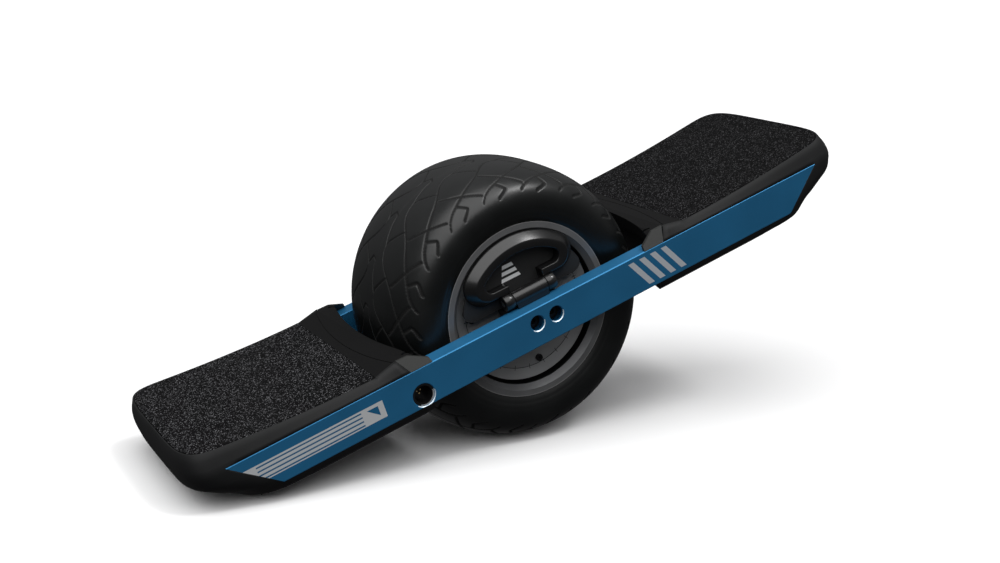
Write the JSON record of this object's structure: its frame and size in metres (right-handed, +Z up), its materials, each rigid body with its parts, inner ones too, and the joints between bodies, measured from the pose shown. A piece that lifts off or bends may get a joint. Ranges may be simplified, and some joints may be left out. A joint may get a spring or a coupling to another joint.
{
  "type": "single-wheel self-balancing electric board",
  "caption": "Self-balancing electric board with a hub-motor wheel in the middle, two side rails, gritted footpads and a fold-out carry handle.",
  "frame": {"origin": "on the floor, under the middle of the board's overall box, which is under the axle to within a few millimetres", "axes": "+X along the board towards its raised tail, +Y towards the rail with the power button, +Z up from the floor; the board stands on its wheel and the skid under its nose"},
  "size_m": [0.7538, 0.229, 0.3098],
  "materials": {
    "rail_metal": "satin anodised blue",
    "bumper_plastic": "fine moulded texture",
    "pad_base": "moulded",
    "grip_sheet": "coarse grit on a black sheet",
    "sensor_film": "printed film",
    "clip_plastic": "satin",
    "box_metal": "black anodised",
    "lid_plastic": "moulded",
    "cell_wrap": "shrink wrap over steel can",
    "circuit_board": "solder mask",
    "power_metal": "machined",
    "axle_steel": "ground steel",
    "laminations": "stacked sheets",
    "copper_coils": "enamelled copper",
    "dark_bolts": "black oxide",
    "cable_jacket": "matt jacket",
    "socket_plastic": "moulded",
    "gold_pins": "gold plated",
    "button_metal": "satin",
    "lens": "smoked window",
    "led_board": "light emitters on a strip",
    "handle_metal": "black anodised",
    "magnet_plate": "nickel plated",
    "tyre_rubber": "new tread rubber",
    "rim_metal": "dark satin paint",
    "seal_rubber": "moulded seal",
    "valve_brass": "turned",
    "cap_plastic": "moulded"
  },
  "bodies": {
    "board": {"left_rail": "rail_metal", "right_rail": "rail_metal", "front_bumper": "bumper_plastic", "rear_bumper": "bumper_plastic", "front_footpad": "pad_base", "rear_footpad": "pad_base", "front_grip": "grip_sheet", "rear_grip": "grip_sheet", "foot_sensor": "sensor_film", "front_wheel_trim": "bumper_plastic", "rear_wheel_trim": "bumper_plastic", "front_corner_clips": "clip_plastic", "rear_corner_clips": "clip_plastic", "battery_box": "box_metal", "battery_lid": "lid_plastic", "battery_cells": "cell_wrap", "battery_board": "circuit_board", "controller_box": "box_metal", "controller_lid": "lid_plastic", "controller_board": "circuit_board", "power_stage": "power_metal", "left_axle_block": "box_metal", "right_axle_block": "box_metal", "axle": "axle_steel", "stator_core": "laminations", "stator_windings": "copper_coils", "axle_bolts": "dark_bolts", "motor_cable": "cable_jacket", "charge_socket": "socket_plastic", "charge_pins": "gold_pins", "charge_cable": "cable_jacket", "button_bezel": "socket_plastic", "button_spring": "axle_steel", "front_light_lens": "lens", "rear_light_lens": "lens", "front_light_board": "led_board", "rear_light_board": "led_board", "skid_screws": "dark_bolts", "lid_screws": "axle_steel", "handle_hinge_block": "handle_metal", "handle_hinge_pin": "axle_steel", "handle_back_plate": "handle_metal", "plate_magnets": "magnet_plate", "plate_screws": "axle_steel"},
    "wheel": {"tyre": "tyre_rubber", "rim": "rim_metal", "rotor_magnets": "magnet_plate", "left_hub_cover": "rim_metal", "right_hub_cover": "rim_metal", "hub_cover_screws": "dark_bolts", "wheel_bearings": "axle_steel", "shaft_seals": "seal_rubber", "valve_stem": "valve_brass", "valve_cap": "cap_plastic"},
    "handle": {"carry_handle": "handle_metal", "handle_magnets": "magnet_plate"},
    "button": {"power_button": "button_metal"}
  },
  "joints": [
    {"name": "wheel_spin", "type": "hinge", "parent": "board", "child": "wheel", "pos_m": [0, 0, 0.146], "axis": [0, 1, 0], "continuous": true},
    {"name": "handle_swing", "type": "hinge", "parent": "board", "child": "handle", "pos_m": [-0.00795, -0.092, 0.16918], "axis": [0.9459, 0, 0.3243], "range_deg": [0, 95]},
    {"name": "power_press", "type": "slide", "parent": "board", "child": "button", "axis": [0, -1, 0], "range_m": [0, 0.0015], "stiffness_N_per_m": 300, "springref_m": -0.002}
  ]
}
